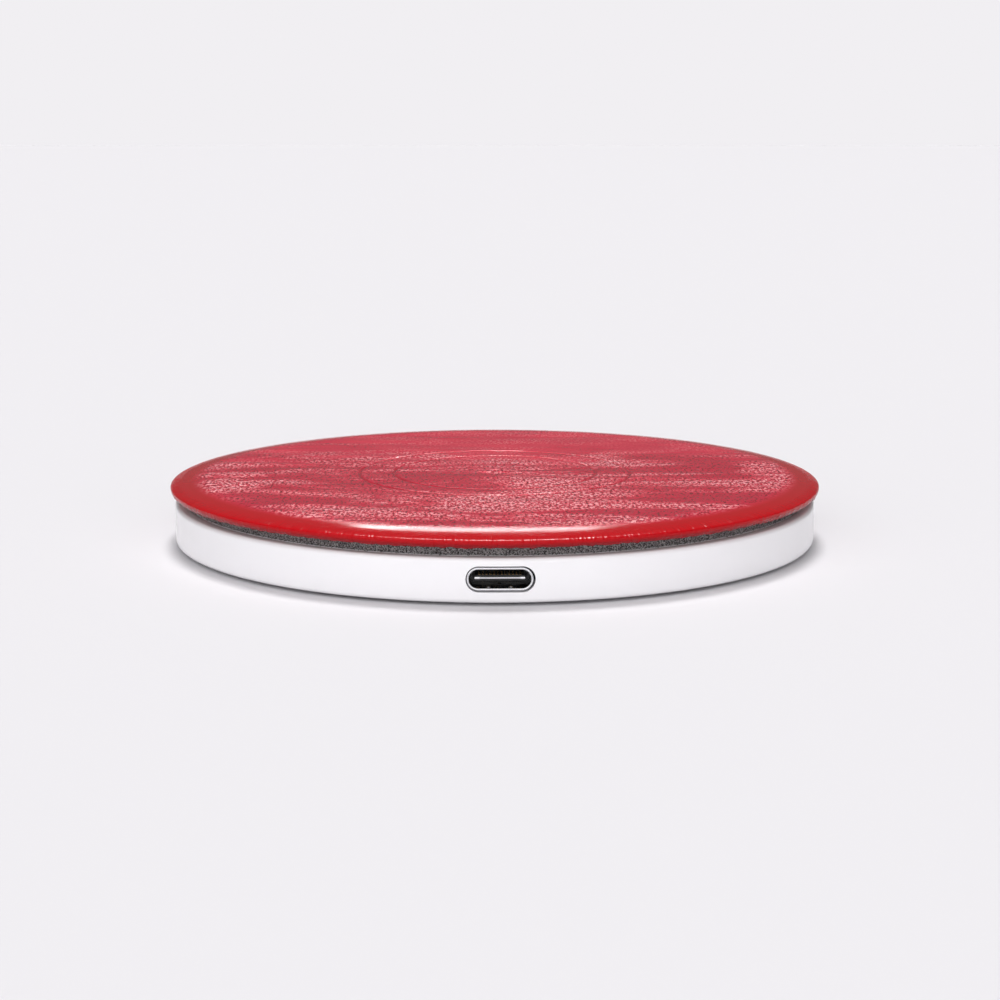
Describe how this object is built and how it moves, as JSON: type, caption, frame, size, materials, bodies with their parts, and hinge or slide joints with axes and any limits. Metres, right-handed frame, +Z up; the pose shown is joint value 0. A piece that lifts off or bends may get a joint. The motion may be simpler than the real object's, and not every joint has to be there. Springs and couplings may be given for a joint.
{
  "type": "wireless charging pad",
  "caption": "Round flat wireless charging pad: red leather-wrapped disc on a shallow glossy white housing with a recessed dark neck and a USB-C socket in its wall.",
  "frame": {"origin": "centre of the underside, on the surface that the pad stands on", "axes": "+Z up along the pad's axis, towards the leather; -Y towards the USB-C socket; +X to the right for someone who faces the socket"},
  "size_m": [0.1, 0.1, 0.01],
  "materials": {
    "red_leather": "oil-waxed grain leather, streaked, softly glossy on the rolled edge",
    "white_plastic": "glossy white moulding",
    "charcoal_foam": "dark closed-cell foam with a grainy cut edge",
    "card": "pressed grey card",
    "grey_silicone": "matt anti-slip silicone",
    "screw_steel": "plain zinc-plated screw",
    "plated_steel": "bright nickel-plated drawn shell",
    "black_plastic": "black moulded insulator",
    "litz_wire": "enamelled copper strands",
    "ferrite": "dark sintered ferrite",
    "board_laminate": "green solder mask on glass laminate",
    "chip_epoxy": "black moulding compound",
    "capacitor_ceramic": "brown fired ceramic chip",
    "film_tape": "amber adhesive film",
    "blue_silicone": "soft thermal pad"
  },
  "bodies": {
    "root": {"leather_cover": "red_leather", "stiffener_board": "card", "lining_disc": "card", "mount_foam_pad": "charcoal_foam", "lower_housing": "white_plastic", "housing_lid": "white_plastic", "foot_ring": "grey_silicone", "case_screw_1": "screw_steel", "case_screw_2": "screw_steel", "case_screw_3": "screw_steel", "charging_coil": "litz_wire", "coil_film": "film_tape", "ferrite_disc": "ferrite", "coil_foam_pad": "charcoal_foam", "coil_thermistor": "black_plastic", "thermistor_lead": "black_plastic", "controller_board": "board_laminate", "charge_controller": "chip_epoxy", "power_stage": "chip_epoxy", "voltage_regulator": "chip_epoxy", "input_tvs_diode": "chip_epoxy", "sense_resistor": "chip_epoxy", "input_inductor": "ferrite", "input_capacitor_1": "capacitor_ceramic", "input_capacitor_2": "capacitor_ceramic", "resonant_capacitor_1": "capacitor_ceramic", "resonant_capacitor_2": "capacitor_ceramic", "resonant_capacitor_3": "capacitor_ceramic", "resonant_capacitor_4": "capacitor_ceramic", "thermal_pad": "blue_silicone", "usb_shell": "plated_steel", "usb_tongue": "black_plastic"}
  },
  "joints": []
}
